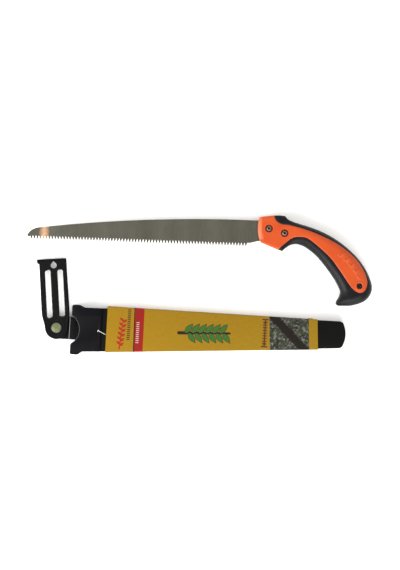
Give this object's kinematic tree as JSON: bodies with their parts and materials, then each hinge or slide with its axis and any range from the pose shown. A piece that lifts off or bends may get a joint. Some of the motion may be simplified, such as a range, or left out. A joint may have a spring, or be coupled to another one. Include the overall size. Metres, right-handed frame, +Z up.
{
  "type": "pruning saw with scabbard",
  "caption": "Curved pistol-grip pruning saw with a toothed blade bolted in the handle, lying beside its scabbard with a swivelling belt hanger and a card sleeve.",
  "frame": {"origin": "centre of the set's bounding box, on the surface that it lies on", "axes": "+X from the blade's tip to the grip, +Y from the scabbard to the saw, +Z up off the surface"},
  "size_m": [0.4488, 0.181, 0.0268],
  "materials": {
    "blade_steel": "brushed, uncoated",
    "orange_plastic": "satin, fine grain",
    "black_rubber": "satin moulded rubber",
    "screw_steel": "zinc plated",
    "sheath_plastic": "moulded, satin",
    "throat_plastic": "moulded, fine grain",
    "hanger_plastic": "moulded, fine grain",
    "passivated_steel": "olive passivated zinc",
    "roller_nylon": "smooth",
    "pin_steel": "drawn",
    "printed_card": "printed and varnished card",
    "tack_nylon": "smooth"
  },
  "bodies": {
    "scabbard": {"throat": "throat_plastic", "sheath_body": "sheath_plastic", "sheath_back": "sheath_plastic", "upper_pin": "pin_steel", "lower_pin": "pin_steel", "hanger_stud": "passivated_steel", "stud_washer": "passivated_steel", "nylon_tack": "tack_nylon"},
    "upper_roller": {"upper_roller": "roller_nylon"},
    "lower_roller": {"lower_roller": "roller_nylon"},
    "hanger": {"belt_hanger": "hanger_plastic"},
    "sleeve": {"card_sleeve": "printed_card"},
    "saw": {"blade": "blade_steel", "handle_core": "orange_plastic", "grip_overmould": "black_rubber", "front_screw": "screw_steel", "rear_screw": "screw_steel", "front_nut": "screw_steel", "rear_nut": "screw_steel"}
  },
  "joints": [
    {"name": "hanger_swivel", "type": "hinge", "parent": "scabbard", "child": "hanger", "pos_m": [-0.18684, -0.05568, 0.0045], "axis": [0, 0, 1], "range_deg": [-2, 170]},
    {"name": "sleeve_slide", "type": "slide", "parent": "scabbard", "child": "sleeve", "axis": [0.9998, -0.0214, 0], "range_m": [0, 0.32]},
    {"name": "saw_lift", "type": "slide", "parent": "scabbard", "child": "saw", "axis": [0, 0, 1], "range_m": [0, 0.12]},
    {"name": "upper_roller_turn", "type": "hinge", "parent": "scabbard", "child": "upper_roller", "pos_m": [-0.15858, -0.03532, 0.0094], "axis": [0, 0, 1], "continuous": true},
    {"name": "lower_roller_turn", "type": "hinge", "parent": "scabbard", "child": "lower_roller", "pos_m": [-0.16112, -0.07804, 0.0094], "axis": [0, 0, 1], "continuous": true}
  ]
}
